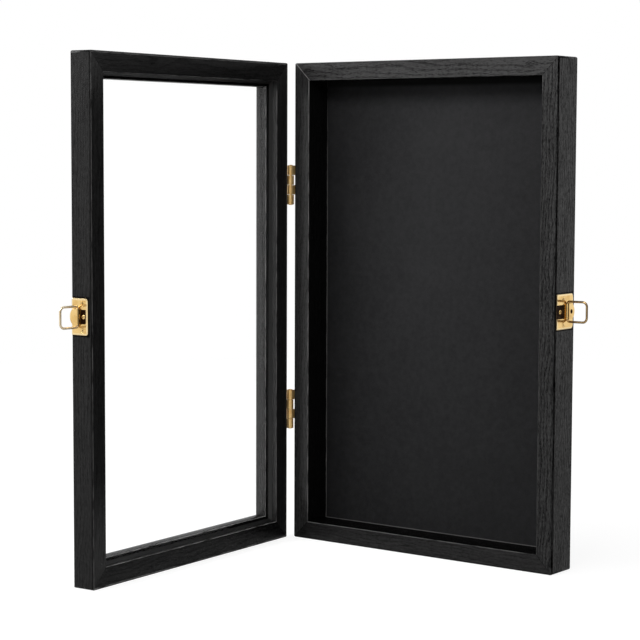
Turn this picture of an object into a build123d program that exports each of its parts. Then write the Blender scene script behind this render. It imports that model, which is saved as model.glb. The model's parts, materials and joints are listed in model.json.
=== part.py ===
from build123d import *
import os
from math import cos, radians, sin

# A wall-hung display case: a shallow wooden box, and a glazed door hinged to its left side.
# The origin is the centre of the box's underside, +X to the right, +Y into the wall, +Z up.
# The door stands open in the frame that the parts are written in.

# Case
WIDTH = 284.0
HEIGHT = 450.0
BOX_DEPTH = 32.0
DOOR_THICKNESS = 21.0
DOOR_GAP = 0.6
DOOR_OPEN = 87.0
FACE = 16.5
DOOR_FACE = 17.6
EASED_EDGE = 0.8
SANDED_CORNER = 2.4
BOX_FRONT = -BOX_DEPTH / 2
BOX_BACK = BOX_DEPTH / 2
DOOR_FRONT = BOX_FRONT - DOOR_GAP - DOOR_THICKNESS

# Back of the box: a lined display board and a back panel in one rebate
LINER_THICKNESS = 0.8
BACK_THICKNESS = 2.0
BACK_REBATE_WIDTH = 6.0
BACK_REBATE_DEPTH = LINER_THICKNESS + BACK_THICKNESS
PANEL_CLEARANCE = 0.5
PANEL_INSET = FACE - BACK_REBATE_WIDTH + PANEL_CLEARANCE
BACK_SCREW_INSET = FACE - BACK_REBATE_WIDTH / 2
BACK_SCREW_HEIGHTS = (60.0, 225.0, 390.0)

# Glazing of the door: the lip that the glass rests on stands inside the inner face
LIP_WIDTH = 5.1
LIP_THICKNESS = 11.4
GLASS_THICKNESS = 2.0
GLASS_CLEARANCE = 0.5
SEALANT_LEG = 2.5
SEALANT_TAPER = -44.0

# Corner joints
NAIL_LEG = 6.0
NAIL_THICKNESS = 0.8
NAIL_LENGTH = 8.0
NAIL_INSET = 3.2
SPLINE_ALONG = 14.0
SPLINE_ACROSS = 12.0
SPLINE_THICKNESS = 3.0
SPLINE_INSET = 11.0
SPLINE_DEPTH = 5.4

# Butt hinges with cranked leaves, screwed to the outside of the case
HINGE_HEIGHTS = {"upper": 336.0, "lower": 123.0}
HINGE_OUT = 4.6
LEAF_HEIGHT = 36.6
LEAF_THICKNESS = 1.0
LEAF_REACH = 17.0
LEAF_CORNER = 1.5
CRANK_START = 2.5
CRANK_END = 5.5
BARREL_RADIUS = 3.2
KNUCKLES = 4
KNUCKLE_GAP = 0.3
KNUCKLE_CUT = 3.9
PIN_RADIUS = 1.2
PIN_HEAD_RADIUS = 2.5
PIN_HEAD = 0.7
RUNNING_FIT = 0.06
LEAF_SCREW_AT = 11.5
LEAF_SCREW_SPREAD = 11.0

# Locking-ring plates, one on the box and one on the door, that meet at the closing seam
LATCH_HEIGHT = 230.0
PLATE_HEIGHT = 31.0
PLATE_THICKNESS = 1.0
PLATE_BEVEL = 0.5
PLATE_BEVEL_WIDTH = 1.1
POCKET_HEIGHT = 12.2
POCKET_DEPTH = 0.6
STRAP_WIDTH = 13.4
STRAP_THICKNESS = 0.9
STRAP_BEND = 1.2
STRAP_CROWN = 3.0
STRAP_DIMPLE = 1.7
STRAP_DIMPLE_DEPTH = 0.45
RING_WIRE = 1.0
RING_REACH = 19.0
RING_HALF_HEIGHT = 8.8
RING_ROOT_BEND = 2.0
RING_TIP_BEND = 4.0
RING_END_GAP = 0.4
PLATE_SCREW_SPREAD = 11.4
BOX_LATCH = {"start": 1.0, "end": 29.0, "seam_corner": 1.2, "far_corner": 3.5,
             "pocket": (1.0, 14.2), "centre_screw_at": 7.0, "screws_at": 12.0,
             "pivot": 17.0, "lean": 0.0, "strap_end": 26.6, "dimple_at": [20.4]}
DOOR_LATCH = {"start": 3.2, "end": 20.7, "seam_corner": 3.0, "far_corner": 1.2,
              "pocket": (5.0, 11.2), "centre_screw_at": 8.2, "screws_at": 8.6,
              "pivot": 12.9, "lean": 8.0, "strap_end": 20.6, "dimple_at": []}

# Fasteners
SCREW_HEAD = 2.3
SCREW_SHANK = 1.3
SCREW_LENGTH = 10.0
SCREW_TIP = 2.0
ROUND_HEAD = 2.0
ROUND_HEAD_HEIGHT = 1.0
ROUND_SHANK = 1.0
ROUND_LENGTH = 8.0
PILOT_CLEARANCE = 0.05

# Sawtooth hanger on the top rail
HANGER_LENGTH = 44.0
HANGER_FOOT = 6.0
HANGER_SLOPE = 2.0
HANGER_HEIGHT = 7.0
HANGER_TOP = 448.0
HANGER_THICKNESS = 0.8
HANGER_RISE = 1.6
TOOTH_COUNT = 9
TOOTH_PITCH = 3.0
TOOTH_WIDTH = 2.4
TOOTH_SIDE = 1.8
HANGER_NAIL_SHANK = 0.7
HANGER_NAIL_HEAD = 1.6
HANGER_NAIL_HEAD_HEIGHT = 0.5

nodes = {}

# Places: the hinge axis, the swing of the door, and the seats of the metalwork.
# A seat's x axis points out of the wood and its y axis points away from the closing seam.
hinge_line = Pos(-WIDTH / 2 - HINGE_OUT, BOX_FRONT - DOOR_GAP / 2, 0)
swing = hinge_line * Rot(0, 0, -DOOR_OPEN) * hinge_line.inverse()
box_frame = Pos(0, BOX_FRONT, HEIGHT / 2)
door_frame = swing * Pos(0, DOOR_FRONT, HEIGHT / 2)
box_latch_seat = Pos(WIDTH / 2, BOX_FRONT, LATCH_HEIGHT)
door_latch_seat = swing * Pos(WIDTH / 2, BOX_FRONT - DOOR_GAP, LATCH_HEIGHT) * Rot(180, 0, 0)
hinge_seats = {}
for place, height in HINGE_HEIGHTS.items():
    hinge_seats[place, "box"] = hinge_line * Pos(0, 0, height) * Rot(0, 180, 0)
    hinge_seats[place, "door"] = swing * hinge_line * Pos(0, 0, height) * Rot(0, 0, 180)


def placed(place, plane):
    """A plane carried from the origin to a place."""
    return Plane(place * plane.location)


def screw_spots(seat, surface, points):
    """Locations on a seat whose z axis points out of the wood, one for each (away, up) point."""
    return [seat * Pos(surface, away, up) * Rot(0, 90, 0) for away, up in points]


def leaf_screw_spots(seat):
    """The two screws of a hinge leaf."""
    surface = LEAF_THICKNESS - HINGE_OUT
    return screw_spots(seat, surface, [(LEAF_SCREW_AT, side * LEAF_SCREW_SPREAD) for side in (-1, 1)])


def plate_screw_spots(seat, latch):
    """The two countersunk screws of a latch plate."""
    points = [(latch["screws_at"], side * PLATE_SCREW_SPREAD) for side in (-1, 1)]
    return screw_spots(seat, PLATE_THICKNESS, points)


def centre_screw_spots(seat, latch):
    """The round-headed screw on the floor of a latch plate's pocket."""
    return screw_spots(seat, PLATE_THICKNESS - POCKET_DEPTH, [(latch["centre_screw_at"], 0)])


# The countersunk wood screw, its head's flat top at the origin and its tip below
with BuildPart() as wood_screw:
    with BuildSketch(Plane.XZ):
        with BuildLine():
            Polyline((0, 0), (SCREW_HEAD, 0), (SCREW_SHANK, SCREW_SHANK - SCREW_HEAD),
                     (SCREW_SHANK, SCREW_TIP - SCREW_LENGTH), (0, -SCREW_LENGTH), close=True)
        make_face()
    revolve(axis=Axis.Z)


def round_headed_pin(head, head_height, shank, length):
    """A screw or nail with a domed head that stands on the surface at the origin."""
    with BuildPart() as pin:
        with BuildSketch(Plane.XZ):
            with BuildLine():
                TangentArc((0, head_height), (head, 0), tangent=(1, 0))
                Polyline((head, 0), (shank, 0), (shank, SCREW_TIP - length), (0, -length), (0, head_height))
            make_face()
        revolve(axis=Axis.Z)
    return pin


def fastener_group(fastener, spots):
    """Copies of one fastener, one at each location."""
    with BuildPart() as group:
        with Locations(*spots):
            add(fastener.part)
    return group


# Woodwork

# The box moulding: depth from the front face along x, distance in from the outside along y
with BuildSketch() as box_section:
    with BuildLine():
        Polyline((0, 0), (BOX_DEPTH, 0), (BOX_DEPTH, FACE - BACK_REBATE_WIDTH),
                 (BOX_DEPTH - BACK_REBATE_DEPTH, FACE - BACK_REBATE_WIDTH),
                 (BOX_DEPTH - BACK_REBATE_DEPTH, FACE), (0, FACE), close=True)
    make_face()
    fillet(box_section.vertices().group_by(Axis.X)[0], EASED_EDGE)
    fillet(box_section.vertices().group_by(Axis.Y)[0].sort_by(Axis.X)[-1], EASED_EDGE)

# The door moulding, drawn the same way, with the glass rebate cut from the side that meets the box
with BuildSketch() as door_section:
    with BuildLine():
        Polyline((0, 0), (DOOR_THICKNESS, 0), (DOOR_THICKNESS, DOOR_FACE), (LIP_THICKNESS, DOOR_FACE),
                 (LIP_THICKNESS, DOOR_FACE + LIP_WIDTH), (0, DOOR_FACE + LIP_WIDTH), close=True)
    make_face()
    fillet(door_section.vertices().group_by(Axis.X)[0], EASED_EDGE)
    fillet(door_section.vertices().group_by(Axis.X)[-1], EASED_EDGE)

# Steel V-nails driven into the back of each mitre of the box, each leg in one member
with BuildPart() as box_corner_nails:
    with BuildSketch(placed(Pos(0, BOX_BACK, HEIGHT / 2), Plane.XZ)):
        for turn, side_x, side_z in ((0, -1, -1), (90, 1, -1), (180, 1, 1), (270, -1, 1)):
            corner = Pos(side_x * (WIDTH / 2 - NAIL_INSET), side_z * (HEIGHT / 2 - NAIL_INSET))
            with Locations(corner * Rot(0, 0, turn)):
                Rectangle(NAIL_LEG, NAIL_THICKNESS, align=Align.MIN)
                Rectangle(NAIL_THICKNESS, NAIL_LEG, align=Align.MIN)
    extrude(amount=NAIL_LENGTH)
nodes["box_corner_nails"] = box_corner_nails

# Hidden splines glued across the mitres of the door
with BuildPart() as door_corner_splines:
    with BuildSketch(placed(door_frame * Pos(0, SPLINE_DEPTH, 0), Plane.XZ)):
        for side_x in (-1, 1):
            for side_z in (-1, 1):
                corner = Pos(side_x * (WIDTH / 2 - SPLINE_INSET), side_z * (HEIGHT / 2 - SPLINE_INSET))
                with Locations(corner * Rot(0, 0, 45 * side_x * side_z)):
                    Rectangle(SPLINE_ALONG, SPLINE_ACROSS)
    extrude(amount=-SPLINE_THICKNESS)
nodes["door_corner_splines"] = door_corner_splines


def mitred_member(frame, turn, section, joinery, drillings):
    """A moulding run along one side of a frame, sawn at 45 degrees at both ends, then drilled."""
    reach, length = (WIDTH / 2, HEIGHT) if turn % 180 else (HEIGHT / 2, WIDTH)
    side = frame * Rot(0, turn, 0) * Pos(0, 0, -reach)
    with BuildPart() as member:
        with BuildSketch(placed(side, Plane.YZ.offset(-length / 2))):
            add(section.sketch)
        extrude(amount=length)
        for end in (-1, 1):
            mitre = Plane(origin=(end * length / 2, 0, 0), x_dir=(0, 1, 0), z_dir=(end, 0, 1))
            split(bisect_by=placed(side, mitre), keep=Keep.BOTTOM)
        with BuildSketch(placed(frame, Plane.XZ)):
            RectangleRounded(WIDTH, HEIGHT, SANDED_CORNER)
        extrude(amount=-BOX_DEPTH, mode=Mode.INTERSECT)
        add(joinery.part, mode=Mode.SUBTRACT)
        for spots, radius, depth in drillings:
            with Locations(*spots):
                Hole(radius + PILOT_CLEARANCE, depth + PILOT_CLEARANCE)
    return member


# Screws of the back panel, set in from its edge, and nails of the hanger
back_screw_spots = [Pos(side * (WIDTH / 2 - BACK_SCREW_INSET), BOX_BACK, height) * Rot(-90, 0, 0)
                    for side in (-1, 1) for height in BACK_SCREW_HEIGHTS]
HANGER_MIDDLE = HANGER_TOP - HANGER_HEIGHT / 2
hanger_nail_spots = [Pos(side * (HANGER_LENGTH - HANGER_FOOT) / 2, BOX_BACK + HANGER_THICKNESS, HANGER_MIDDLE)
                     * Rot(-90, 0, 0) for side in (-1, 1)]

back_drilling = (back_screw_spots, SCREW_SHANK, SCREW_LENGTH)


def leaf_drilling(side):
    """The pilot holes behind both hinge leaves of the box or of the door."""
    spots = [spot for place in HINGE_HEIGHTS for spot in leaf_screw_spots(hinge_seats[place, side])]
    return (spots, SCREW_SHANK, SCREW_LENGTH)


def latch_drillings(seat, latch):
    """The pilot holes behind one latch plate."""
    return [(plate_screw_spots(seat, latch), SCREW_SHANK, SCREW_LENGTH),
            (centre_screw_spots(seat, latch), ROUND_SHANK, ROUND_LENGTH)]


box_drillings = {
    "bottom_rail": [],
    "left_stile": [back_drilling, leaf_drilling("box")],
    "top_rail": [(hanger_nail_spots, HANGER_NAIL_SHANK, ROUND_LENGTH)],
    "right_stile": [back_drilling, *latch_drillings(box_latch_seat, BOX_LATCH)],
}
door_drillings = {
    "bottom_rail": [],
    "hinge_stile": [leaf_drilling("door")],
    "top_rail": [],
    "free_stile": latch_drillings(door_latch_seat, DOOR_LATCH),
}
for case, frame, section, joinery, drillings in (
        ("box", box_frame, box_section, box_corner_nails, box_drillings),
        ("door", door_frame, door_section, door_corner_splines, door_drillings)):
    for quarter, member in enumerate(drillings):
        nodes[f"{case}_{member}"] = mitred_member(frame, 90 * quarter, section, joinery, drillings[member])


def rear_board(front, thickness):
    """A thin board in the rebate at the back of the box, drilled for the back screws."""
    with BuildPart() as board:
        with BuildSketch(placed(Pos(0, front, HEIGHT / 2), Plane.XZ)):
            Rectangle(WIDTH - 2 * PANEL_INSET, HEIGHT - 2 * PANEL_INSET)
        extrude(amount=-thickness)
        with Locations(*back_screw_spots):
            CounterSinkHole(SCREW_SHANK + PILOT_CLEARANCE, SCREW_HEAD + PILOT_CLEARANCE,
                            counter_sink_angle=90, depth=BACK_REBATE_DEPTH + PANEL_CLEARANCE)
    return board


nodes["display_liner"] = rear_board(BOX_BACK - BACK_REBATE_DEPTH, LINER_THICKNESS)
nodes["back_panel"] = rear_board(BOX_BACK - BACK_THICKNESS, BACK_THICKNESS)
nodes["back_panel_screws"] = fastener_group(wood_screw, back_screw_spots)

# The glass lies in the rebate of the door against the lip, and a bead of sealant holds it there
GLASS_OUTER_FACE = LIP_THICKNESS
GLASS_INNER_FACE = LIP_THICKNESS + GLASS_THICKNESS
with BuildPart() as glass_pane:
    with BuildSketch(placed(door_frame * Pos(0, GLASS_OUTER_FACE, 0), Plane.XZ)):
        Rectangle(WIDTH - 2 * (DOOR_FACE + GLASS_CLEARANCE), HEIGHT - 2 * (DOOR_FACE + GLASS_CLEARANCE))
    extrude(amount=-GLASS_THICKNESS)
nodes["glass_pane"] = glass_pane

with BuildPart() as glass_sealant_bead:
    bead_plane = placed(door_frame * Pos(0, GLASS_INNER_FACE, 0), Plane.XZ)
    with BuildSketch(bead_plane):
        Rectangle(WIDTH - 2 * DOOR_FACE, HEIGHT - 2 * DOOR_FACE)
    extrude(amount=-SEALANT_LEG)
    with BuildSketch(bead_plane):
        Rectangle(WIDTH - 2 * (DOOR_FACE + SEALANT_LEG), HEIGHT - 2 * (DOOR_FACE + SEALANT_LEG))
    extrude(amount=-SEALANT_LEG, taper=SEALANT_TAPER, mode=Mode.SUBTRACT)
nodes["glass_sealant_bead"] = glass_sealant_bead


# Hinges

def hinge_leaf(seat):
    """A cranked leaf: a flat on the wood, a step out to the barrel, and every other knuckle."""
    outside = -HINGE_OUT + LEAF_THICKNESS
    wall = -BARREL_RADIUS + LEAF_THICKNESS
    knuckle = LEAF_HEIGHT / KNUCKLES
    bottom = -LEAF_HEIGHT / 2
    with BuildPart() as leaf:
        with BuildSketch(placed(seat, Plane.XY.offset(bottom))):
            with BuildLine():
                Polyline((-HINGE_OUT, LEAF_REACH), (-HINGE_OUT, CRANK_END), (-BARREL_RADIUS, CRANK_START),
                         (-BARREL_RADIUS, 0), (wall, 0), (wall, CRANK_START + RUNNING_FIT),
                         (outside, CRANK_END + RUNNING_FIT), (outside, LEAF_REACH), close=True)
            make_face()
            Circle(BARREL_RADIUS)
            Circle(PIN_RADIUS + RUNNING_FIT, mode=Mode.SUBTRACT)
        extrude(amount=LEAF_HEIGHT)
        far_corners = leaf.edges().filter_by(Axis.X.located(seat)).group_by(Axis.Y.located(seat))[-1]
        fillet(far_corners, LEAF_CORNER)
        for turn in range(1, KNUCKLES, 2):
            with BuildSketch(placed(seat, Plane.XY.offset(bottom + turn * knuckle - KNUCKLE_GAP / 2))):
                with Locations((0, KNUCKLE_CUT)):
                    Rectangle(2 * HINGE_OUT, 2 * HINGE_OUT, align=(Align.CENTER, Align.MAX))
            extrude(amount=knuckle + KNUCKLE_GAP, mode=Mode.SUBTRACT)
        with Locations(*leaf_screw_spots(seat)):
            CounterSinkHole(SCREW_SHANK + PILOT_CLEARANCE, SCREW_HEAD + PILOT_CLEARANCE,
                            counter_sink_angle=90, depth=2 * LEAF_THICKNESS)
    return leaf


def hinge_pin(height):
    """The pin, with a domed head over each end of the barrel."""
    half = LEAF_HEIGHT / 2 + RUNNING_FIT
    with BuildPart() as pin:
        with BuildSketch(placed(hinge_line * Pos(0, 0, height), Plane.XZ)):
            with BuildLine():
                Polyline((0, -half - PIN_HEAD), (0, half + PIN_HEAD))
                TangentArc((0, half + PIN_HEAD), (PIN_HEAD_RADIUS, half), tangent=(1, 0))
                Polyline((PIN_HEAD_RADIUS, half), (PIN_RADIUS, half), (PIN_RADIUS, -half),
                         (PIN_HEAD_RADIUS, -half))
                TangentArc((0, -half - PIN_HEAD), (PIN_HEAD_RADIUS, -half), tangent=(1, 0))
            make_face()
        revolve(axis=Axis.Z.located(hinge_line))
    return pin


for place, height in HINGE_HEIGHTS.items():
    for side in ("box", "door"):
        seat = hinge_seats[place, side]
        nodes[f"{place}_hinge_{side}_leaf"] = hinge_leaf(seat)
        nodes[f"{place}_hinge_{side}_screws"] = fastener_group(wood_screw, leaf_screw_spots(seat))
    nodes[f"{place}_hinge_pin"] = hinge_pin(height)


# Locking rings

RING_BORE = RING_WIRE + RUNNING_FIT
RING_OUT = PLATE_THICKNESS + RING_BORE


def latch_plate(seat, latch):
    """A bevelled plate with a pocket, and a round-ended strap that folds over the ring's root."""
    pocket_start, pocket_end = latch["pocket"]
    fold = RING_BORE + STRAP_THICKNESS / 2
    top = RING_OUT + fold + STRAP_THICKNESS / 2
    side = STRAP_WIDTH / 2
    with BuildPart() as plate:
        with BuildSketch(placed(seat, Plane.YZ)) as outline:
            with Locations((latch["start"], 0)):
                Rectangle(latch["end"] - latch["start"], PLATE_HEIGHT, align=(Align.MIN, Align.CENTER))
            fillet(outline.vertices().group_by(Axis.X)[0], latch["seam_corner"])
            fillet(outline.vertices().group_by(Axis.X)[-1], latch["far_corner"])
        extrude(amount=PLATE_THICKNESS)
        outside = plate.faces().sort_by(Axis.X.located(seat))[-1]
        chamfer(outside.edges(), PLATE_BEVEL_WIDTH, PLATE_BEVEL, reference=outside)
        with BuildSketch(placed(seat, Plane.YZ.offset(PLATE_THICKNESS - POCKET_DEPTH))):
            with Locations((pocket_start, 0)):
                Rectangle(pocket_end - pocket_start, POCKET_HEIGHT, align=(Align.MIN, Align.CENTER))
        extrude(amount=POCKET_DEPTH, mode=Mode.SUBTRACT)
        # The strap's top and rounded end wall, as a block that is hollowed from its two open sides
        with BuildSketch(placed(seat, Plane.YZ.offset(PLATE_THICKNESS / 2))):
            with BuildLine():
                shoulder = latch["strap_end"] - STRAP_CROWN
                Polyline((shoulder, side), (latch["pivot"], side), (latch["pivot"], -side), (shoulder, -side))
                ThreePointArc((shoulder, -side), (latch["strap_end"], 0), (shoulder, side))
            make_face()
        extrude(amount=top - PLATE_THICKNESS / 2)
        strap_top = plate.faces().sort_by(Axis.X.located(seat))[-1]
        fillet(strap_top.edges().filter_by(GeomType.CIRCLE), STRAP_BEND)
        with BuildSketch(placed(seat, Plane.YZ.offset(PLATE_THICKNESS))):
            with BuildLine():
                inner = shoulder - STRAP_THICKNESS
                Polyline((inner, side), (inner, 2 * side), (latch["pivot"], 2 * side),
                         (latch["pivot"], -2 * side), (inner, -2 * side), (inner, -side))
                ThreePointArc((inner, -side), (latch["strap_end"] - STRAP_THICKNESS, 0), (inner, side))
            make_face()
        extrude(amount=top - STRAP_THICKNESS - PLATE_THICKNESS, mode=Mode.SUBTRACT)
        with BuildSketch(placed(seat, Plane.XY.offset(-side))):
            with BuildLine():
                CenterArc((RING_OUT, latch["pivot"]), fold, 180, 180)
            trace(line_width=STRAP_THICKNESS)
        extrude(amount=STRAP_WIDTH)
        with Locations(*plate_screw_spots(seat, latch)):
            CounterSinkHole(SCREW_SHANK + PILOT_CLEARANCE, SCREW_HEAD + PILOT_CLEARANCE,
                            counter_sink_angle=90, depth=2 * PLATE_THICKNESS)
        with Locations(*centre_screw_spots(seat, latch)):
            Hole(ROUND_SHANK + PILOT_CLEARANCE, depth=PLATE_THICKNESS)
        for away in latch["dimple_at"]:
            with Locations(*screw_spots(seat, top, [(away, 0)])):
                Hole(STRAP_DIMPLE, depth=STRAP_DIMPLE_DEPTH)
    return plate


def latch_ring(seat, latch):
    """A ring bent from one wire, its two ends meeting inside the strap."""
    lean = radians(latch["lean"])
    upright = Plane(origin=(RING_OUT, latch["pivot"], 0), x_dir=(cos(lean), sin(lean), 0),
                    z_dir=(sin(lean), -cos(lean), 0))
    with BuildPart() as ring:
        with BuildLine(placed(seat, upright)) as wire:
            FilletPolyline((0, RING_END_GAP / 2), (0, RING_HALF_HEIGHT), (RING_REACH, RING_HALF_HEIGHT),
                           (RING_REACH, -RING_HALF_HEIGHT), (0, -RING_HALF_HEIGHT), (0, -RING_END_GAP / 2),
                           radius=(RING_ROOT_BEND, RING_TIP_BEND, RING_TIP_BEND, RING_ROOT_BEND))
        with BuildSketch(Plane(origin=wire.line @ 0, z_dir=wire.line % 0)):
            Circle(RING_WIRE)
        sweep()
    return ring


centre_screw = round_headed_pin(ROUND_HEAD, ROUND_HEAD_HEIGHT, ROUND_SHANK, ROUND_LENGTH)
for side, seat, latch in (("box", box_latch_seat, BOX_LATCH), ("door", door_latch_seat, DOOR_LATCH)):
    nodes[f"{side}_latch_plate"] = latch_plate(seat, latch)
    nodes[f"{side}_latch_ring"] = latch_ring(seat, latch)
    nodes[f"{side}_latch_screws"] = fastener_group(wood_screw, plate_screw_spots(seat, latch))
    nodes[f"{side}_latch_centre_screw"] = fastener_group(centre_screw, centre_screw_spots(seat, latch))

# Sawtooth hanger: a strip with two nailed feet and a raised middle that is notched along its lower edge
hanger_foot = Pos(0, BOX_BACK, HANGER_TOP - HANGER_HEIGHT)
with BuildPart() as sawtooth_hanger:
    with BuildSketch(placed(hanger_foot, Plane.XY)):
        half = HANGER_LENGTH / 2
        with BuildLine():
            Polyline((-half, HANGER_THICKNESS / 2), (HANGER_FOOT - half, HANGER_THICKNESS / 2),
                     (HANGER_FOOT + HANGER_SLOPE - half, HANGER_RISE + HANGER_THICKNESS / 2),
                     (half - HANGER_FOOT - HANGER_SLOPE, HANGER_RISE + HANGER_THICKNESS / 2),
                     (half - HANGER_FOOT, HANGER_THICKNESS / 2), (half, HANGER_THICKNESS / 2))
        trace(line_width=HANGER_THICKNESS)
    extrude(amount=HANGER_HEIGHT)
    with BuildSketch(placed(hanger_foot, Plane.XZ)):
        with GridLocations(TOOTH_PITCH, TOOTH_PITCH, TOOTH_COUNT, 1):
            Triangle(a=TOOTH_WIDTH, b=TOOTH_SIDE, c=TOOTH_SIDE, align=(Align.CENTER, Align.MIN))
    extrude(amount=-2 * HANGER_RISE, mode=Mode.SUBTRACT)
    with Locations(*hanger_nail_spots):
        Hole(HANGER_NAIL_SHANK + PILOT_CLEARANCE, depth=2 * HANGER_THICKNESS)
nodes["sawtooth_hanger"] = sawtooth_hanger
hanger_nail = round_headed_pin(HANGER_NAIL_HEAD, HANGER_NAIL_HEAD_HEIGHT, HANGER_NAIL_SHANK, ROUND_LENGTH)
nodes["hanger_nails"] = fastener_group(hanger_nail, hanger_nail_spots)

os.makedirs("parts", exist_ok=True)
for node, builder in nodes.items():
    builder.part.label = node
    export_step(builder.part, f"parts/{node}.step")
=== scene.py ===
import json
import math
from math import cos, radians, sin

import bmesh
import bpy
from mathutils import Matrix, Vector


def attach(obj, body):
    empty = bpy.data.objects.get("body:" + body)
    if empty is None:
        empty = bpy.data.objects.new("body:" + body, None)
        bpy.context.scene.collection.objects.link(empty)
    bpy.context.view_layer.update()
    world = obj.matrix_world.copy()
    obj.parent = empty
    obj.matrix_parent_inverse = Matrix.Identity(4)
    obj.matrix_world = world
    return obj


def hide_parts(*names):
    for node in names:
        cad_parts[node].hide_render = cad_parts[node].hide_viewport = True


# Looks of a wall-hung display case: black-stained wood, gold-plated fittings, felt and glass.
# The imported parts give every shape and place; this script finishes their surfaces.

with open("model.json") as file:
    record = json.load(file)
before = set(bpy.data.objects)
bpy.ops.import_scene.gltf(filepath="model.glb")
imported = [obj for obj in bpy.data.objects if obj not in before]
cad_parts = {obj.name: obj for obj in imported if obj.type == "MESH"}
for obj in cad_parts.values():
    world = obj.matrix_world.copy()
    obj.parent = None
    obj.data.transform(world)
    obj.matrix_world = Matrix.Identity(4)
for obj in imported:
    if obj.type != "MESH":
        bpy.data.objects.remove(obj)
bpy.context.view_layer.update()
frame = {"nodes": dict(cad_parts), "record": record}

# Sizes of the case in millimetres, with the door shut, for patterns that follow its mouldings
MM = 0.001
WIDTH, HEIGHT = 284.0, 450.0
BOX_DEPTH, DOOR_DEPTH = 32.0, 21.0
BOX_FRONT, DOOR_FRONT = -16.0, -37.6
BOX_FACE, DOOR_FACE, LIP = 16.5, 17.6, 22.7
LIP_DEPTH, LINER_DEPTH = 11.4, 29.2
DOOR_GAP, DOOR_OPEN = 0.6, 87.0
HINGE_LINE = Vector((-146.6, -16.3, 0.0))
OUTSIDE = WIDTH / 2

# The latch plates: their heights, and how far their outlines, pockets and dimple reach along y
LATCH_HEIGHT = 230.0
PLATE_HALF_HEIGHT, POCKET_HALF_HEIGHT = 15.5, 6.1
BOX_SEAM, DOOR_SEAM = BOX_FRONT, BOX_FRONT - DOOR_GAP
PLATES = {
    "box_latch_plate": {"on_door": False, "outline": (BOX_SEAM + 1.0, BOX_SEAM + 29.0),
                        "pocket": (BOX_SEAM + 1.0, BOX_SEAM + 14.2), "dimples": (BOX_SEAM + 20.4,)},
    "door_latch_plate": {"on_door": True, "outline": (DOOR_SEAM - 20.7, DOOR_SEAM - 3.2),
                         "pocket": (DOOR_SEAM - 11.2, DOOR_SEAM - 5.0), "dimples": ()},
}


# Node trees

class Field:
    """A value in a node tree. Arithmetic on it adds Math nodes."""

    def __init__(self, tree, socket):
        self.tree, self.socket = tree, socket

    def maths(self, operation, *values):
        return self.tree.node("ShaderNodeMath", {"operation": operation}, dict(enumerate(values)))

    def __add__(self, other):
        return self.maths("ADD", self, other)

    def __sub__(self, other):
        return self.maths("SUBTRACT", self, other)

    def __rsub__(self, other):
        return self.maths("SUBTRACT", other, self)

    def __mul__(self, other):
        return self.maths("MULTIPLY", self, other)

    def __truediv__(self, other):
        return self.maths("DIVIDE", self, other)

    def __pow__(self, other):
        return self.maths("POWER", self, other)

    def __abs__(self):
        return self.maths("ABSOLUTE", self)

    __radd__, __rmul__ = __add__, __mul__


class Tree:
    """A node tree under construction. Every node in it comes from node()."""

    def __init__(self, tree):
        self.tree = tree

    def node(self, kind, settings=None, inputs=None, output=0):
        made = self.tree.nodes.new(kind)
        for name, value in (settings or {}).items():
            setattr(made, name, value)
        for name, value in (inputs or {}).items():
            if isinstance(value, Field):
                self.tree.links.new(value.socket, made.inputs[name])
            else:
                made.inputs[name].default_value = value
        return Field(self, made.outputs[output]) if len(made.outputs) else made

    def rise(self, value, low, high):
        """0 below low, 1 above high, and a smooth step between."""
        return self.node("ShaderNodeMapRange", {"interpolation_type": "SMOOTHSTEP"},
                         {"Value": value, "From Min": low, "From Max": high})

    def fall(self, value, low, high):
        """1 below low, 0 above high, and a smooth step between."""
        return 1.0 - self.rise(value, low, high)

    def largest(self, *values):
        most = values[0]
        for value in values[1:]:
            most = most.maths("MAXIMUM", most, value)
        return most

    def point(self, x, y, z):
        return self.node("ShaderNodeCombineXYZ", inputs={0: x, 1: y, 2: z})

    def noise(self, where, detail=2.0, roughness=0.5, scale=1.0, distortion=0.0):
        return self.node("ShaderNodeTexNoise", inputs={"Vector": where, "Scale": scale, "Detail": detail,
                                                       "Roughness": roughness, "Distortion": distortion})

    def mix(self, first, second, amount):
        """A colour between two colours."""
        return self.node("ShaderNodeMix", {"data_type": "RGBA"}, {0: amount, 6: first, 7: second}, output=2)


def rgb(red, green, blue):
    return (red, green, blue, 1.0)


def grey(value):
    return rgb(value, value, value)


WHITE = grey(1.0)


class Finish(Tree):
    """A material, with Object coordinates in millimetres and a Principled surface."""

    def __init__(self, name):
        self.material = bpy.data.materials.new(name)
        self.material.use_nodes = True
        super().__init__(self.material.node_tree)
        self.tree.nodes.clear()

    def place(self, on_door=False):
        """Object coordinates in millimetres. On the door they are turned back to where it shuts."""
        turn = Matrix.Rotation(radians(DOOR_OPEN if on_door else 0.0), 3, "Z")
        here = self.node("ShaderNodeTexCoord", output="Object")
        return self.node("ShaderNodeMapping", inputs={
            "Vector": here, "Scale": (1 / MM, 1 / MM, 1 / MM), "Rotation": turn.to_euler(),
            "Location": HINGE_LINE - turn @ HINGE_LINE})

    def split(self, where):
        return [self.node("ShaderNodeSeparateXYZ", inputs={0: where}, output=axis) for axis in range(3)]

    def surface(self, **inputs):
        """The Principled surface and the output. A height in millimetres becomes its bump."""
        height = inputs.pop("height", None)
        if height is not None:
            inputs["Normal"] = self.node("ShaderNodeBump", inputs={"Height": height, "Distance": MM})
        shader = self.node("ShaderNodeBsdfPrincipled",
                           inputs={name.replace("_", " "): value for name, value in inputs.items()})
        self.node("ShaderNodeOutputMaterial", inputs={"Surface": shader})
        return self.material


# Wood

STAIN_DEEP = grey(0.0025)
STAIN_THIN = rgb(0.0320, 0.0315, 0.0315)
PORE = grey(0.0008)
# Pale colour of arrises where the stain is rubbed thin, and a painted highlight of their glint
RUBBED_GLINT = rgb(0.240, 0.237, 0.235)

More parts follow.
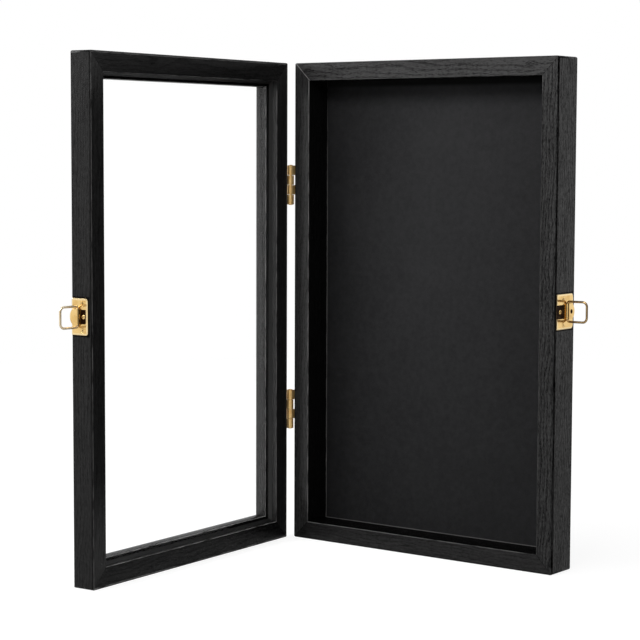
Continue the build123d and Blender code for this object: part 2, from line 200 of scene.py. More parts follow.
# Which side of its frame each member makes
MEMBERS = {"bottom_rail": "bottom", "top_rail": "top", "left_stile": "left", "right_stile": "right",
           "hinge_stile": "left", "free_stile": "right"}
# Lines of each moulding, as (depth from the front, distance in from the outside): where a pale line stands
# for stain rubbed thin and a painted highlight glinting on the arris, and where a painted dark line stands
# for shade
RUBBED_GLINT_LINES = {"box": ((0.0, BOX_FACE), (LINER_DEPTH, BOX_FACE)),
                "door": ((DOOR_DEPTH, 1.2), (DOOR_DEPTH, DOOR_FACE), (LIP_DEPTH, LIP), (0.0, LIP))}
SHADED_LINES = {"box": ((0.0, 0.0), (BOX_DEPTH, 0.0)), "door": ((DOOR_DEPTH, 0.0), (LIP_DEPTH, DOOR_FACE))}
# How light each member's stain is, set to take in how brightly it is lit (painted light: top rail lighter,
# door darker), how strong its grain, how strong its pale arris lines (rubbed stain and painted highlight),
# and how strong its painted dark lines are
STAINS_AND_LIGHT = {
    "box_top_rail": (0.46, 1.15, 0.10, 0.35), "box_right_stile": (-0.06, 1.10, 0.30, 1.00),
    "box_left_stile": (0.22, 0.65, 0.90, 0.35), "box_bottom_rail": (-0.18, 0.45, 0.45, 0.35),
    "door_top_rail": (-0.24, 0.30, 0.60, 0.20), "door_free_stile": (-0.20, 0.35, 0.80, 0.35),
    "door_bottom_rail": (-0.34, 0.30, 1.25, 0.20), "door_hinge_stile": (0.00, 0.35, 0.60, 0.20)}
SEAM_STRENGTH = {"box": 0.8, "door": 0.35}
RING_SPACING, RING_BOW = 2.6, 11.0
SEED_STEP = 37.0


class Wood(Finish):
    """The wood of one member, with millimetres along it, in from its outside and deep from its front."""

    def __init__(self, node, seed):
        super().__init__(f"{node}_wood")
        self.seed = seed
        self.case, member = node.split("_", 1)
        self.side = MEMBERS[member]
        x, y, z = self.split(self.place(self.case == "door"))
        self.along, self.inward, self.reach = {
            "bottom": (x, z, OUTSIDE), "top": (x, HEIGHT - z, OUTSIDE),
            "left": (z - HEIGHT / 2, x + OUTSIDE, HEIGHT / 2),
            "right": (z - HEIGHT / 2, OUTSIDE - x, HEIGHT / 2)}[self.side]
        self.depth = y - (DOOR_FRONT if self.case == "door" else BOX_FRONT)
        self.y, self.z = y, z

    def stretched(self, length, width, detail, **options):
        """Noise drawn out along the member."""
        start = SEED_STEP * self.seed
        where = self.point(self.along / length + start, self.inward / width, self.depth / width)
        return self.noise(where, detail, **options)

    def early_wood(self):
        """1 in the soft part of each growth ring."""
        # The rings lie round a pith outside the board, bowed so that they run out in long points
        bow = self.stretched(70.0, 20.0, 2.0) - 0.5
        lean = 0.03 * (-1) ** self.seed
        across = self.inward + self.along * lean + (14.0 + 5.0 * (self.seed % 3))
        below = self.depth + (18.0 + 7.0 * (self.seed % 4))
        ring = ((across * across + below * below) ** 0.5 + bow * RING_BOW) / RING_SPACING
        return self.fall(ring.maths("FRACT", ring), 0.0, 0.55)

    def grain(self):
        """How light the figure is, its finest fibres, and the holes of its pores."""
        early = self.early_wood()
        flecks = self.stretched(3.6, 0.95, 3.0, roughness=0.6, distortion=1.0)
        streaks = self.stretched(11.0, 1.00, 3.0, roughness=0.6, distortion=0.4)
        fibres = self.stretched(18.0, 0.42, 3.0, roughness=0.6)
        blotch = self.stretched(40.0, 9.0, 2.0)
        figure = flecks * 0.44 + streaks * 0.26 + fibres * 0.18 + blotch * 0.12 - early * 0.05
        dashes = self.rise(self.stretched(6.5, 0.75, 1.0, roughness=0.4) + early * 0.10, 0.60, 0.70)
        pores = self.rise(self.stretched(3.6, 0.24, 1.0, roughness=0.4) + early * 0.10, 0.60, 0.70)
        return figure, fibres, self.largest(pores, dashes * 0.8)

    def near_lines(self, lines, inner, outer):
        """1 within the inner distance of a line of the moulding, and 0 beyond the outer."""
        near = [((self.depth - a) ** 2.0 + (self.inward - b) ** 2.0) ** 0.5 for a, b in lines]
        return self.largest(*[self.fall(distance, inner, outer) for distance in near])

    def to_mitre(self):
        """How far this is from the mitre at the nearer end, measured along the member."""
        return self.reach - abs(self.along) - self.inward

    def shadow_round_plate(self):
        """1 on the member's outer side close round its latch plate, where a painted shadow of the plate
        lies.
        """
        near_end, far_end = PLATES[f"{self.case}_latch_plate"]["outline"]
        beyond = self.largest(abs(self.y - (near_end + far_end) / 2) - (far_end - near_end) / 2,
                              abs(self.z - LATCH_HEIGHT) - PLATE_HALF_HEIGHT)
        return self.fall(beyond, 0.9, 1.7) * self.fall(self.inward, 0.3, 0.6)

    def painted_recess_shade(self):
        """1 on the box's inner walls, and on the ledge that holds the door's glass, where painted shade
        darkens them.
        """
        if self.case == "box":
            walls = self.rise(self.inward, BOX_FACE - 0.7, BOX_FACE - 0.1)
            return walls * self.rise(self.depth, 0.7, 1.6) * 0.80
        past_face = self.rise(self.inward, DOOR_FACE + 0.3, DOOR_FACE + 0.8)
        before_lip = self.fall(self.inward, LIP - 0.9, LIP - 0.4)
        return self.fall(abs(self.depth - LIP_DEPTH), 0.3, 0.7) * past_face * before_lip * 0.85


def stained_wood(node, seed):
    """Black stain over open grain along one member: pale arrises (rubbed stain and painted highlight),
    painted shade, two mitres.
    """
    wood = Wood(node, seed)
    # Each member's lightness takes in how brightly it is lit: painted light
    lit_lightness, strength, marks_and_painted_light, dark_line_strength = STAINS_AND_LIGHT[node]
    figure, fibres, holes = wood.grain()
    patchy = wood.rise(wood.stretched(14.0, 2.5, 3.0), 0.30, 0.60)
    # Pale arris lines: stain rubbed thin, and a painted highlight
    rubbed_glint = wood.near_lines(RUBBED_GLINT_LINES[wood.case], 0.35, 0.75) * patchy * marks_and_painted_light
    # Painted shade: dark lines along some arrises and corners
    painted_dark_lines = wood.near_lines(SHADED_LINES[wood.case], 1.10, 1.70) * dark_line_strength
    to_mitre = wood.to_mitre()
    seam = wood.fall(abs(to_mitre), 0.12, 0.42) * SEAM_STRENGTH[wood.case]
    # Painted shade in the box's recess and on the door's glass ledge
    black = wood.painted_recess_shade()
    # Painted shadow on the wood round the latch plate
    if wood.side == "right":
        painted_dark_lines = wood.largest(painted_dark_lines, wood.shadow_round_plate())
    # Painted highlight along the top rail's left mitre
    if node == "box_top_rail":
        left_mitre_highlight = wood.fall(abs(to_mitre - 0.8), 0.25, 0.60) * wood.fall(wood.along, -1.0, 1.0)
        rubbed_glint = wood.largest(rubbed_glint, left_mitre_highlight)
    polished = wood.rise(wood.inward, LIP - 0.45, LIP - 0.15) if wood.case == "door" else 0.0

    tone = (wood.rise(figure, 0.34, 0.62) - 0.5) * strength + (0.5 + lit_lightness)
    colour = wood.mix(STAIN_DEEP, STAIN_THIN, tone)
    colour = wood.mix(colour, PORE, holes * (0.8 * strength))
    colour = wood.mix(colour, RUBBED_GLINT, rubbed_glint * 0.8)
    colour = wood.mix(colour, PORE, wood.largest(painted_dark_lines * 0.9, seam, black * (1 - rubbed_glint)))
    varnish = 0.25 + tone * 0.50 - holes * 0.20 - wood.largest(painted_dark_lines, seam, black) * 0.3
    return wood.surface(
        Base_Color=colour, Roughness=0.50 + fibres * 0.20, Specular_IOR_Level=0.0,
        Coat_Weight=varnish + polished * 0.75, Coat_Roughness=0.27,
        height=tone * 0.07 - holes * 0.12 - seam * 0.25)


def bare_wood(name):
    """Pale beech, for the splines inside the door's corners."""
    wood = Finish(name)
    x, y, z = wood.split(wood.place(on_door=True))
    fibres = wood.noise(wood.point((x + z) / 18.0, (x - z) / 0.7, y / 0.7), 3.0)
    return wood.surface(Base_Color=wood.mix(rgb(0.42, 0.27, 0.15), rgb(0.62, 0.45, 0.29), fibres),
                        Roughness=0.62 + fibres * 0.1, height=fibres * 0.04)


# Cloth and boards

# Felt colours: dark, lighter (for random tone and for painted light), painted shadow, and a pale painted
# highlight
FELT_DARK = rgb(0.0060, 0.0060, 0.0064)
FELT_LIGHTER = rgb(0.0330, 0.0330, 0.0345)
FELT_SHADED = grey(0.0030)
FRAY_HIGHLIGHT = rgb(0.13, 0.127, 0.125)


def felt(name):
    """Black felt: short matted fibres, and a nap that lies in slightly different ways."""
    cloth = Finish(name)
    here = cloth.place()
    x, y, z = cloth.split(here)
    matted = cloth.noise(here, 3.0, 0.7, 1.6, 0.6)
    hairs = cloth.noise(here, 2.0, 0.6, 5.0, 1.5)
    mottle = cloth.noise(here, 3.0, 0.6, 0.20)
    nap = cloth.noise(here, 3.0, 0.5, 0.022)
    tone = matted * 0.42 + hairs * 0.22 + mottle * 0.26 + nap * 0.10
    # Painted light: lighter in the middle and most towards the top, darker towards the bottom and the side
    # walls, as the lamps fall on it
    painted_light = cloth.rise(z, 0.0, HEIGHT) * 0.40 + 0.08
    painted_light = painted_light * cloth.rise(x, -130.0, 0.0) * (1 - cloth.rise(x, 20.0, 130.0) * 0.4)
    colour = cloth.mix(FELT_DARK, FELT_LIGHTER, cloth.rise(tone, 0.30, 0.70) * 0.50 + painted_light)
    # Painted shadow close under the top rail, as black as the darkest felt
    shadow_under_rail = cloth.rise(z, HEIGHT - BOX_FACE - 8.0, HEIGHT - BOX_FACE - 3.5)
    colour = cloth.mix(colour, FELT_SHADED, shadow_under_rail)
    # Pale cut edges: a painted highlight broken up like fray, left off under that rail
    inside = cloth.largest(abs(x) - (OUTSIDE - BOX_FACE), abs(z - HEIGHT / 2) - (HEIGHT / 2 - BOX_FACE))
    frayed_highlight = cloth.rise(inside, -1.0, -0.5) * cloth.rise(matted, 0.25, 0.5) * cloth.fall(z, 300.0, 420.0)
    return cloth.surface(
        Base_Color=cloth.mix(colour, FRAY_HIGHLIGHT, frayed_highlight * 0.8),
        Roughness=1.0, Specular_IOR_Level=0.12, Sheen_Weight=0.05, Sheen_Roughness=0.45,
        height=matted * 0.10 + hairs * 0.05)


def hardboard(name):
    """The painted back panel: pressed fibre under thin black paint, scuffed here and there."""
    board = Finish(name)
    here = board.place()
    fibre = board.noise(here, 4.0, 0.65, 0.9, 0.8)
    scuff = board.rise(board.noise(here, 5.0, 0.7, 0.045, 0.4), 0.56, 0.72)
    colour = board.mix(rgb(0.010, 0.0095, 0.009), rgb(0.026, 0.024, 0.022), fibre)
    return board.surface(Base_Color=board.mix(colour, rgb(0.052, 0.046, 0.040), scuff * 0.4),
                         Roughness=0.62 + fibre * 0.12 - scuff * 0.1, Specular_IOR_Level=0.35,
                         height=fibre * 0.05)


def sealant(name):
    """Black silicone, smoothed by a finger."""
    bead = Finish(name)
    ripple = bead.noise(bead.place(on_door=True), 2.0, 0.5, 0.35)
    return bead.surface(Base_Color=bead.mix(grey(0.006), grey(0.012), ripple),
                        Roughness=0.34 + ripple * 0.12, height=ripple * 0.12)


def clear_glass(name):
    """Clear float glass that lets the lamps through."""
    pane = Finish(name)
    solid = pane.node("ShaderNodeBsdfPrincipled", inputs={
        "Base Color": rgb(0.998, 1.0, 0.999), "Roughness": 0.0, "IOR": 1.15, "Transmission Weight": 1.0})
    through = pane.node("ShaderNodeBsdfTransparent", inputs={"Color": rgb(0.99, 0.995, 0.992)})
    for_lamps = pane.node("ShaderNodeLightPath", output="Is Shadow Ray")
    both = pane.node("ShaderNodeMixShader", inputs={0: for_lamps, 1: solid, 2: through})
    pane.node("ShaderNodeOutputMaterial", inputs={"Surface": both})
    return pane.material


# Metal

GOLD = rgb(0.86, 0.60, 0.25)
GOLD_THIN = rgb(0.72, 0.46, 0.16)
GOLD_RIM_HIGHLIGHT = rgb(0.95, 0.75, 0.42)
# Dark brown, for real tarnish, and for painted shade in hollows and at the plates' feet
TARNISH_SHADE = rgb(0.020, 0.007, 0.003)
# One wire in two colours, painted light: a shaded copy for the box's ring and a lit copy for the door's ring
SHADED_WIRE = rgb(0.42, 0.29, 0.14)
SHADED_WIRE_THIN = rgb(0.26, 0.16, 0.07)
LIT_WIRE = rgb(0.88, 0.74, 0.52)
LIT_WIRE_THIN = rgb(0.74, 0.58, 0.36)
BARREL = rgb(1.00, 0.68, 0.29)
BARREL_THIN = rgb(0.92, 0.54, 0.18)


def plate_marks_and_light(metal, here, plate, colour, mottle):
    """A latch plate's colour with a painted highlight on its rim, and painted shade in its pocket and dimple
    and at its foot.
    """
    x, y, z = metal.split(here)
    proud = x - OUTSIDE
    rise = z - LATCH_HEIGHT

    def past(low, high, half_height):
        """How far outside a rectangle of the plate's plane this lies."""
        return metal.largest(abs(y - (low + high) / 2) - (high - low) / 2, abs(rise) - half_height)

    edge = past(*plate["outline"], PLATE_HALF_HEIGHT)
    # Painted highlight along the plate's bevelled rim
    colour = metal.mix(colour, GOLD_RIM_HIGHLIGHT, metal.rise(edge, -1.9, -1.3) * 0.9)
    # Painted shadow at the plate's foot, and painted shade in its pocket
    foot_shadow = metal.rise(edge, -0.35, -0.10) * metal.fall(proud, 0.55, 0.95)
    in_pocket = metal.fall(past(*plate["pocket"], POCKET_HALF_HEIGHT), -0.15, 0.05)
    pocket = in_pocket * metal.fall(proud, 0.90, 0.97)
    tarnish_and_shade = metal.largest(foot_shadow * 0.9, pocket * (0.92 + metal.rise(mottle, 0.55, 1.05) * 0.08))
    # Painted shade in the dimple
    for dimple in plate["dimples"]:
        off = ((y - dimple) ** 2.0 + rise ** 2.0) ** 0.5
        tarnish_and_shade = metal.largest(tarnish_and_shade, metal.fall(off, 1.6, 2.3) * metal.rise(proud, 1.2, 1.3))
    return colour, tarnish_and_shade


def gold_plate(name, bright=GOLD, dull=GOLD_THIN, roughness=0.12, metallic=1.0, plate=None, shaded_recesses=False):
    """Polished gold plate with fine handling marks.

    A plate is one of PLATES, with a painted highlight on its rim and painted shade in its pocket, dimple and
    foot. A finish for screws gets painted shade where the attribute "deep" of its mesh says so, in their
    cross recesses.
    """
    metal = Finish(name)
    here = metal.place(on_door=plate is not None and plate["on_door"])
    cloudy = metal.noise(here, 3.0, 0.5, 0.16)
    peel = metal.noise(here, 1.0, 0.5, 1.1)
    marks = metal.rise(metal.noise(here, 6.0, 0.75, 0.8, 3.0), 0.60, 0.75)
    colour = metal.mix(bright, dull, metal.rise(cloudy, 0.35, 0.75))
    tarnish_and_shade = marks * 0.06
    if plate:
        colour, marks_and_painted_light = plate_marks_and_light(metal, here, plate, colour, peel + cloudy)
        tarnish_and_shade = metal.largest(tarnish_and_shade, marks_and_painted_light)
    # Painted shade in the screws' cross recesses
    if shaded_recesses:
        deep = metal.node("ShaderNodeAttribute", {"attribute_name": "deep"}, output="Fac")
        tarnish_and_shade = metal.largest(tarnish_and_shade, deep)
    return metal.surface(
        Base_Color=metal.mix(colour, TARNISH_SHADE, tarnish_and_shade), Metallic=metallic,
        Roughness=roughness + marks * 0.14 + cloudy * 0.05 + tarnish_and_shade * 0.50,
        height=peel * 0.010 + marks * 0.003)


def zinc_plate(name):
    """Bright zinc with its faint spangle."""
    metal = Finish(name)
    here = metal.place()
    spangle = metal.node("ShaderNodeTexVoronoi", inputs={"Vector": here, "Scale": 0.45}, output="Color")
    tone = metal.noise(spangle, 1.0, 0.5, 3.0)
    return metal.surface(
        Base_Color=metal.mix(rgb(0.50, 0.50, 0.49), rgb(0.66, 0.66, 0.64), tone), Metallic=1.0,
        Roughness=0.30 + tone * 0.16, height=metal.noise(here, 3.0, 0.6, 2.0) * 0.01)


def black_oxide(name):
    """Blackened steel."""
    metal = Finish(name)
    mottled = metal.noise(metal.place(), 4.0, 0.6, 0.9)
    return metal.surface(Base_Color=metal.mix(rgb(0.012, 0.012, 0.013), rgb(0.035, 0.034, 0.034), mottled),
                         Metallic=0.6, Roughness=0.38 + mottled * 0.15, height=mottled * 0.01)


# Pieces

def merged(mesh):
    """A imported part's triangles, joined where their corners meet."""
    joined = bmesh.new()
    joined.from_mesh(mesh)
    bmesh.ops.remove_doubles(joined, verts=joined.verts, dist=0.002 * MM)
    bmesh.ops.dissolve_degenerate(joined, edges=joined.edges, dist=0.001 * MM)
    return joined


def smooth(mesh, sharp=28.0):
    """Smooth shading that stops at edges sharper than an angle in degrees."""
    mesh.shade_smooth()
    mesh.set_sharp_from_angle(angle=radians(sharp))


def flat_faces_kept(mesh):
    """The same mesh, with normals that leave its large faces flat and bend only over its rounded edges."""
    holder = bpy.data.objects.new(mesh.name, mesh)
    bpy.context.scene.collection.objects.link(holder)
    modifier = holder.modifiers.new("weighted", "WEIGHTED_NORMAL")
    modifier.mode, modifier.weight, modifier.keep_sharp = "FACE_AREA", 50, True
    weighted = bpy.data.meshes.new_from_object(holder.evaluated_get(bpy.context.evaluated_depsgraph_get()))
    weighted.name = mesh.name
    bpy.data.objects.remove(holder)
    return weighted


def piece(name, mesh, body, replaced, finish=None):
    """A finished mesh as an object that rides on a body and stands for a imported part."""
    made = bpy.data.objects.new(name, mesh)
    bpy.context.scene.collection.objects.link(made)
    if finish:
        mesh.materials.clear()
        mesh.materials.append(finish)
    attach(made, body)
    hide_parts(replaced)
    return made


body_of = {node: body for body, nodes in frame["record"]["behaviour"]["bodies"].items() for node in nodes}


def refined(node, name, finish, rounding=0.0, sharp=28.0):
    """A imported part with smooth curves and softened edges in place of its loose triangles."""
    shape = merged(frame["nodes"][node].data)
    if rounding:
        bmesh.ops.dissolve_limit(shape, angle_limit=radians(0.6), verts=shape.verts, edges=shape.edges)
        corners = [edge for edge in shape.edges
                   if len(edge.link_faces) == 2 and edge.calc_face_angle() > radians(sharp)]
        bmesh.ops.bevel(shape, geom=corners, offset=rounding * MM, segments=2, profile=0.5, affect="EDGES",
                        clamp_overlap=True)
    mesh = bpy.data.meshes.new(name)
    shape.to_mesh(mesh)
    shape.free()
    smooth(mesh, sharp)
    return piece(name, flat_faces_kept(mesh), body_of[node], node, finish)


mouldings = sorted(node for node in frame["nodes"] if node.endswith(("_rail", "_stile")))
for seed, node in enumerate(mouldings):
    refined(node, f"{node}_moulding", stained_wood(node, seed), sharp=40.0)

zinc = zinc_plate("zinc_plate")
for node, plate in PLATES.items():
    refined(node, f"{node}_pressing", gold_plate(f"{node}_gold", plate=plate), rounding=0.10)
# The two rings share one wire, painted shaded on the box and lit on the door
for node, bright, dull, roughness, metallic in (
        ("box_latch_ring", SHADED_WIRE, SHADED_WIRE_THIN, 0.16, 1.0),
        ("door_latch_ring", LIT_WIRE, LIT_WIRE_THIN, 0.24, 0.6)):
    wire_gold = gold_plate(f"{node}_gold", bright, dull, roughness, metallic)
    refined(node, f"{node}_wire", wire_gold, sharp=50.0)
hinge_gold = gold_plate("gold_plated_hinges", BARREL, BARREL_THIN, roughness=0.30, metallic=0.65)
for place in ("upper", "lower"):
    for side in ("box", "door"):
        refined(f"{place}_hinge_{side}_leaf", f"{place}_hinge_{side}_pressing", hinge_gold, rounding=0.10)
    refined(f"{place}_hinge_pin", f"{place}_hinge_pin_turned", hinge_gold, sharp=40.0)
refined("sawtooth_hanger", "sawtooth_hanger_pressing", zinc, rounding=0.08)
refined("hanger_nails", "hanger_nails_domed", zinc, sharp=40.0)

plain = {"display_liner": felt("felt"), "back_panel": hardboard("painted_hardboard"),
         "glass_pane": clear_glass("clear_glass"), "glass_sealant_bead": sealant("black_sealant"),
         "door_corner_splines": bare_wood("bare_beech"), "box_corner_nails": zinc}
for node, finish in plain.items():
    materials = frame["nodes"][node].data.materials
    materials.clear()
    materials.append(finish)


# Screws with cross recesses

SCREW_FACETS = 36


def lathe(profile, facets):
    """A closed solid turned from (radius, height) points that start and end on the axis."""
    turned = bmesh.new()
    rings = []
    for radius, height in profile:
        if radius:
            rings.append([turned.verts.new((radius * MM * cos(math.tau * i / facets),
                                            radius * MM * sin(math.tau * i / facets), height * MM))
                          for i in range(facets)])
        else:
            rings.append([turned.verts.new((0, 0, height * MM))] * facets)
    for above, below in zip(rings, rings[1:]):
        for i in range(facets):
            j = (i + 1) % facets
            corners = dict.fromkeys((above[i], below[i], below[j], above[j]))
            turned.faces.new(list(corners))
    bmesh.ops.recalc_face_normals(turned, faces=turned.faces)
    return turned


def cross_punch(arm, half_width, depth):
    """The tapered cross that the driver leaves, as a solid with its top above the head."""
    outline = [(arm, half_width), (half_width, half_width), (half_width, arm)]
    turns = [Matrix.Rotation(turn * math.pi / 2, 2) for turn in range(4)]
    outline = [turn @ Vector(point) for turn in turns for point in outline]
    punch = bmesh.new()
    rings = [[punch.verts.new((x * scale * MM, y * scale * MM, height * MM)) for x, y in outline]
             for height, scale in ((2 * depth, 2.1), (-depth, 0.45))]
    count = len(outline)
    for i in range(count):
        j = (i + 1) % count
        punch.faces.new((rings[0][i], rings[0][j], rings[1][j], rings[1][i]))
    punch.faces.new(rings[0])
    punch.faces.new(rings[1])
    bmesh.ops.recalc_face_normals(punch, faces=punch.faces)
    return punch


def hidden(name, shape):
    """A tool object from a bmesh, kept out of the scene."""
    mesh = bpy.data.meshes.new(name)
    shape.to_mesh(mesh)
    shape.free()
    return bpy.data.objects.new(name, mesh)


def punched(name, profile, arm, half_width, depth, top):
    """A turned screw with a cross recess punched into its head, and the recess marked as deep."""
    screw = hidden(name, lathe(profile, SCREW_FACETS))
    punch = hidden(f"{name}_punch", cross_punch(arm, half_width, depth))
    punch.data.transform(Matrix.Translation((0, 0, top * MM)))
    for tool in (screw, punch):
        bpy.context.scene.collection.objects.link(tool)
    cut = screw.modifiers.new("recess", "BOOLEAN")
    cut.operation, cut.solver, cut.object = "DIFFERENCE", "EXACT", punch
    graph = bpy.context.evaluated_depsgraph_get()
    mesh = bpy.data.meshes.new_from_object(screw.evaluated_get(graph))
    for tool in (screw, punch):
        bpy.data.objects.remove(tool)
    smooth(mesh, 30.0)
    deep = mesh.attributes.new("deep", "FLOAT", "POINT")
    for corner, mark in zip(mesh.vertices, deep.data):
        x, y, z = corner.co / MM
        mark.value = float(math.hypot(x, y) < arm and top - 1.05 * depth < z < top - 0.35 * depth)
    return bpy.data.objects.new(name, mesh)


# Profiles as (radius, height): a countersunk screw and a round-headed one, each down to its point
FLAT_HEAD = [(0, 0), (2.16, 0), (2.28, -0.05), (2.28, -0.10), (1.3, -1.0), (1.3, -8.0), (0, -10.0)]
ROUND_HEAD_RISE = 1.0
DOME = [(2.0 * sin(radians(a)), ROUND_HEAD_RISE * cos(radians(a))) for a in (0, 12, 24, 36, 48, 60, 72, 82)]
ROUND_HEAD = [*DOME, (2.0, 0.05), (2.0, 0), (1.0, 0), (1.0, -6.0), (0, -8.0)]
flat_screw = punched("flat_screw", FLAT_HEAD, 1.15, 0.24, 0.85, 0.0)
round_screw = punched("round_screw", ROUND_HEAD, 0.95, 0.20, 0.75, 0.95)


def driven_tree():
    """Geometry Nodes that drive a screw at every point, each turned its own way round its axis."""
    group = bpy.data.node_groups.new("driven_screws", "GeometryNodeTree")
    inputs = {}
    for name, kind in (("Points", "Geometry"), ("Screw", "Object"), ("Outward", "Vector"), ("Seed", "Int"),
                       ("Finish", "Material")):
        inputs[name] = group.interface.new_socket(name, in_out="INPUT", socket_type=f"NodeSocket{kind}")
    group.interface.new_socket("Driven", in_out="OUTPUT", socket_type="NodeSocketGeometry")
    tree = Tree(group)
    given = group.nodes.new("NodeGroupInput")
    take = {name: Field(tree, given.outputs[name]) for name in inputs}
    screw = tree.node("GeometryNodeObjectInfo", inputs={"Object": take["Screw"]}, output="Geometry")
    upright = tree.node("FunctionNodeAlignRotationToVector", {"axis": "Z"}, {"Vector": take["Outward"]})
    angle = tree.node("FunctionNodeRandomValue", {"data_type": "FLOAT"},
                      {"Min": 0.0, "Max": math.pi, "Seed": take["Seed"]}, output=1)
    spin = tree.node("FunctionNodeAxisAngleToRotation", inputs={"Axis": (0, 0, 1), "Angle": angle})
    turned = tree.node("FunctionNodeRotateRotation", {"rotation_space": "LOCAL"},
                       {"Rotation": upright, "Rotate By": spin})
    placed = tree.node("GeometryNodeInstanceOnPoints", inputs={
        "Points": take["Points"], "Instance": screw, "Rotation": turned})
    real = tree.node("GeometryNodeRealizeInstances", inputs={"Geometry": placed})
    finished = tree.node("GeometryNodeSetMaterial", inputs={"Geometry": real, "Material": take["Finish"]})
    tree.node("NodeGroupOutput", inputs={"Driven": finished})
    return group, {name: socket.identifier for name, socket in inputs.items()}


driven, driven_inputs = driven_tree()


def head_centres(node, outward, up):
    """Where the axes of a packed group of screws meet a plane up millimetres below their tops."""
    corners = {tuple(round(c, 6) for c in v.co) for v in frame["nodes"][node].data.vertices}
    corners = [Vector(c) for c in corners]
    top = max(c.dot(outward) for c in corners)
    groups = []
    for corner in corners:
        flat = corner - outward * corner.dot(outward)
        home = next((g for g in groups if (g[0] - flat).length < 5 * MM), None)
        if home:
            home.append(flat)
        else:
            groups.append([flat])
    centres = []
    for group in groups:
        low = Vector(min(c[i] for c in group) for i in range(3))
        high = Vector(max(c[i] for c in group) for i in range(3))
        centres.append((low + high) / 2 + outward * (top - up * MM))
    return sorted(centres, key=lambda c: (round(c.z, 4), round(c.x, 4)))


def drive(node, name, screw, outward, finish, seed, up=0.0):
    """Screws at the places of a packed group, as one mesh that stands for it."""
    centres = head_centres(node, outward, up)
    points = bpy.data.meshes.new(name)
    points.from_pydata([tuple(c) for c in centres], [], [])
    holder = bpy.data.objects.new(name, points)
    bpy.context.scene.collection.objects.link(holder)
    modifier = holder.modifiers.new("driven", "NODES")
    modifier.node_group = driven
    settings = {"Screw": screw, "Outward": tuple(outward), "Seed": seed, "Finish": finish}
    for label, value in settings.items():
        modifier[driven_inputs[label]] = value
    graph = bpy.context.evaluated_depsgraph_get()
    mesh = bpy.data.meshes.new_from_object(holder.evaluated_get(graph))
    bpy.data.objects.remove(holder)
    smooth(mesh, 30.0)
    return piece(name, mesh, body_of[node], node)


# Gold for the screws, with painted shade in their cross recesses
recess_shaded_gold = gold_plate("gold_plated_screws", shaded_recesses=True)
swing = Matrix.Rotation(radians(-DOOR_OPEN), 3, "Z")
RIGHT, LEFT, BACK = Vector((1, 0, 0)), Vector((-1, 0, 0)), Vector((0, 1, 0))
GOLD_SCREWS = (
    ("box_latch_screws", flat_screw, RIGHT),
    ("box_latch_centre_screw", round_screw, RIGHT),
    ("door_latch_screws", flat_screw, swing @ RIGHT),
    ("door_latch_centre_screw", round_screw, swing @ RIGHT),
    ("upper_hinge_box_screws", flat_screw, LEFT),
    ("lower_hinge_box_screws", flat_screw, LEFT),
    ("upper_hinge_door_screws", flat_screw, swing @ LEFT),
    ("lower_hinge_door_screws", flat_screw, swing @ LEFT))
for seed, (node, screw, outward) in enumerate(GOLD_SCREWS):
    up = ROUND_HEAD_RISE if screw == round_screw else 0.0
    drive(node, f"{node}_driven", screw, outward, recess_shaded_gold, seed, up)
drive("back_panel_screws", "back_panel_screws_driven", flat_screw, BACK, black_oxide("black_oxide"),
      len(GOLD_SCREWS))


# Studio

def ray(tree, kind):
    return tree.node("ShaderNodeLightPath", output=f"Is {kind} Ray")


def seen_rays(tree):
    """1 where the camera, a reflection or a view through glass sees this."""
    return tree.largest(ray(tree, "Camera"), ray(tree, "Glossy"), ray(tree, "Transmission"))


def mirrored_rays(tree):
    """1 where a reflection sees this. A view through glass carries the same flag, and is left out."""
    return ray(tree, "Glossy") * (1 - ray(tree, "Transmission"))


def cosine(degrees):
    return cos(radians(degrees))


# The world is white. Reflections find it dimmer overhead, and dark where the room is open
LIT_STRENGTH = 0.22
OVERHEAD = rgb(0.38, 0.38, 0.39)
ROOM = rgb(0.10, 0.097, 0.093)
ROOM_TOWARDS = -12.0
ROOM_REACH = (56.0, 34.0)


def white_world():
    """The backdrop as it is seen, and as it lights the case."""
    world = bpy.data.worlds.new("white_studio")
    world.use_nodes = True
    world.node_tree.nodes.clear()
    sky = Tree(world.node_tree)
    way = sky.node("ShaderNodeTexCoord", output="Generated")
    upward = sky.node("ShaderNodeSeparateXYZ", inputs={0: way}, output=2)
    room_way = (cosine(ROOM_TOWARDS), sin(radians(ROOM_TOWARDS)), 0.0)
    facing = sky.node("ShaderNodeVectorMath", {"operation": "DOT_PRODUCT"}, {0: way, 1: room_way},
                      output="Value")
    around = sky.mix(WHITE, OVERHEAD, sky.rise(upward, 0.02, 0.50))
    around = sky.mix(around, ROOM, sky.rise(facing, *map(cosine, ROOM_REACH)))
    lit = sky.node("ShaderNodeBackground", inputs={"Color": WHITE, "Strength": LIT_STRENGTH})
    shown = sky.node("ShaderNodeBackground", inputs={
        "Color": sky.mix(WHITE, around, mirrored_rays(sky)),
        "Strength": 1.0 + ray(sky, "Transmission") * 0.03})
    both = sky.node("ShaderNodeMixShader", inputs={0: seen_rays(sky), 1: lit, 2: shown})
    sky.node("ShaderNodeOutputWorld", inputs={"Surface": both})
    return world


bpy.context.scene.world = white_world()

# The floor is a matt disc, and a glow makes it as white as the backdrop away from the shadow
FLOOR_RADIUS, FLOOR_SIDES = 1.7, 96
GLOW_FROM_MM, GLOW_TO_MM = 400.0, 1300.0


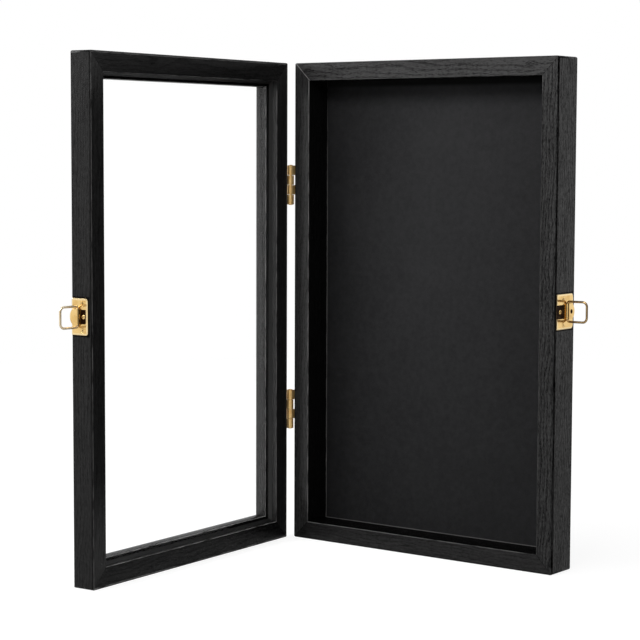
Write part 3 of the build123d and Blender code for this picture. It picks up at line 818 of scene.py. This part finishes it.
def floor_paint():
    """White paint as it is seen, with its glow, and as it lights the case."""
    paint = Finish("white_floor")
    ground = paint.place()
    far = paint.node("ShaderNodeVectorMath", {"operation": "LENGTH"}, {0: ground}, output="Value")
    paper = paint.mix(grey(0.28), grey(0.30), paint.noise(ground, 2.0, 0.5, 0.02))
    matt = paint.node("ShaderNodeBsdfDiffuse", inputs={"Color": paper})
    faint = paint.node("ShaderNodeBsdfDiffuse", inputs={"Color": grey(0.22)})
    glow = paint.node("ShaderNodeEmission", inputs={
        "Color": paint.mix(grey(0.84), grey(0.93), paint.rise(far, GLOW_FROM_MM, GLOW_TO_MM)),
        "Strength": 1.0 - mirrored_rays(paint) * 0.38})
    shown = paint.node("ShaderNodeAddShader", inputs={0: faint, 1: glow})
    both = paint.node("ShaderNodeMixShader", inputs={0: seen_rays(paint), 1: matt, 2: shown})
    paint.node("ShaderNodeOutputMaterial", inputs={"Surface": both})
    return paint.material


rim = [math.tau * i / FLOOR_SIDES for i in range(FLOOR_SIDES)]
floor_mesh = bpy.data.meshes.new("floor")
floor_mesh.from_pydata([(FLOOR_RADIUS * cos(angle), FLOOR_RADIUS * sin(angle), 0) for angle in rim],
                       [], [tuple(range(FLOOR_SIDES))])
floor_mesh.materials.append(floor_paint())
floor = bpy.data.objects.new("floor", floor_mesh)
bpy.context.scene.collection.objects.link(floor)

# A soft key from the upper left, a small light in front of the box, and a wide one high behind it:
# each lamp's name, place, size and power in watts
MIDDLE = Vector((-0.02, -0.1, 0.22))
LAMPS = (("key", (-1.0, -0.60, 0.85), (0.8, 0.7), 14.0),
         ("near", (0.05, -0.70, 0.88), (0.7, 0.25), 4.6),
         ("top", (0.4, 0.9, 2.1), (1.2, 1.2), 18.0))
for name, where, (across, tall), power in LAMPS:
    lamp = bpy.data.lights.new(name, "AREA")
    lamp.shape, lamp.size, lamp.size_y, lamp.energy = "RECTANGLE", across, tall, power
    holder = bpy.data.objects.new(name, lamp)
    holder.location = where
    holder.rotation_euler = (MIDDLE - Vector(where)).to_track_quat("-Z", "Y").to_euler()
    holder.visible_camera = holder.visible_transmission = False
    bpy.context.scene.collection.objects.link(holder)

# The camera stands to the right of the case and a little above its middle
CAMERA_PLACE = Vector((0.98988, -1.48435, 0.36766))
CAMERA_YAW, CAMERA_PITCH, CAMERA_ROLL = -0.64360, 0.08577, 0.00371
CAMERA_LENS, CAMERA_SENSOR = 110.31, 36.0
camera_lens = bpy.data.cameras.new("camera")
camera_lens.sensor_width = CAMERA_SENSOR
camera_lens.lens = CAMERA_LENS
camera_lens.clip_end = 50.0
camera = bpy.data.objects.new("camera", camera_lens)
camera.matrix_world = (
    Matrix.Translation(CAMERA_PLACE) @ Matrix.Rotation(-CAMERA_YAW, 4, "Z")
    @ Matrix.Rotation(math.pi / 2 - CAMERA_PITCH, 4, "X") @ Matrix.Rotation(CAMERA_ROLL, 4, "Z"))
bpy.context.scene.collection.objects.link(camera)
bpy.context.scene.camera = camera
bpy.context.scene.view_settings.view_transform = "Standard"
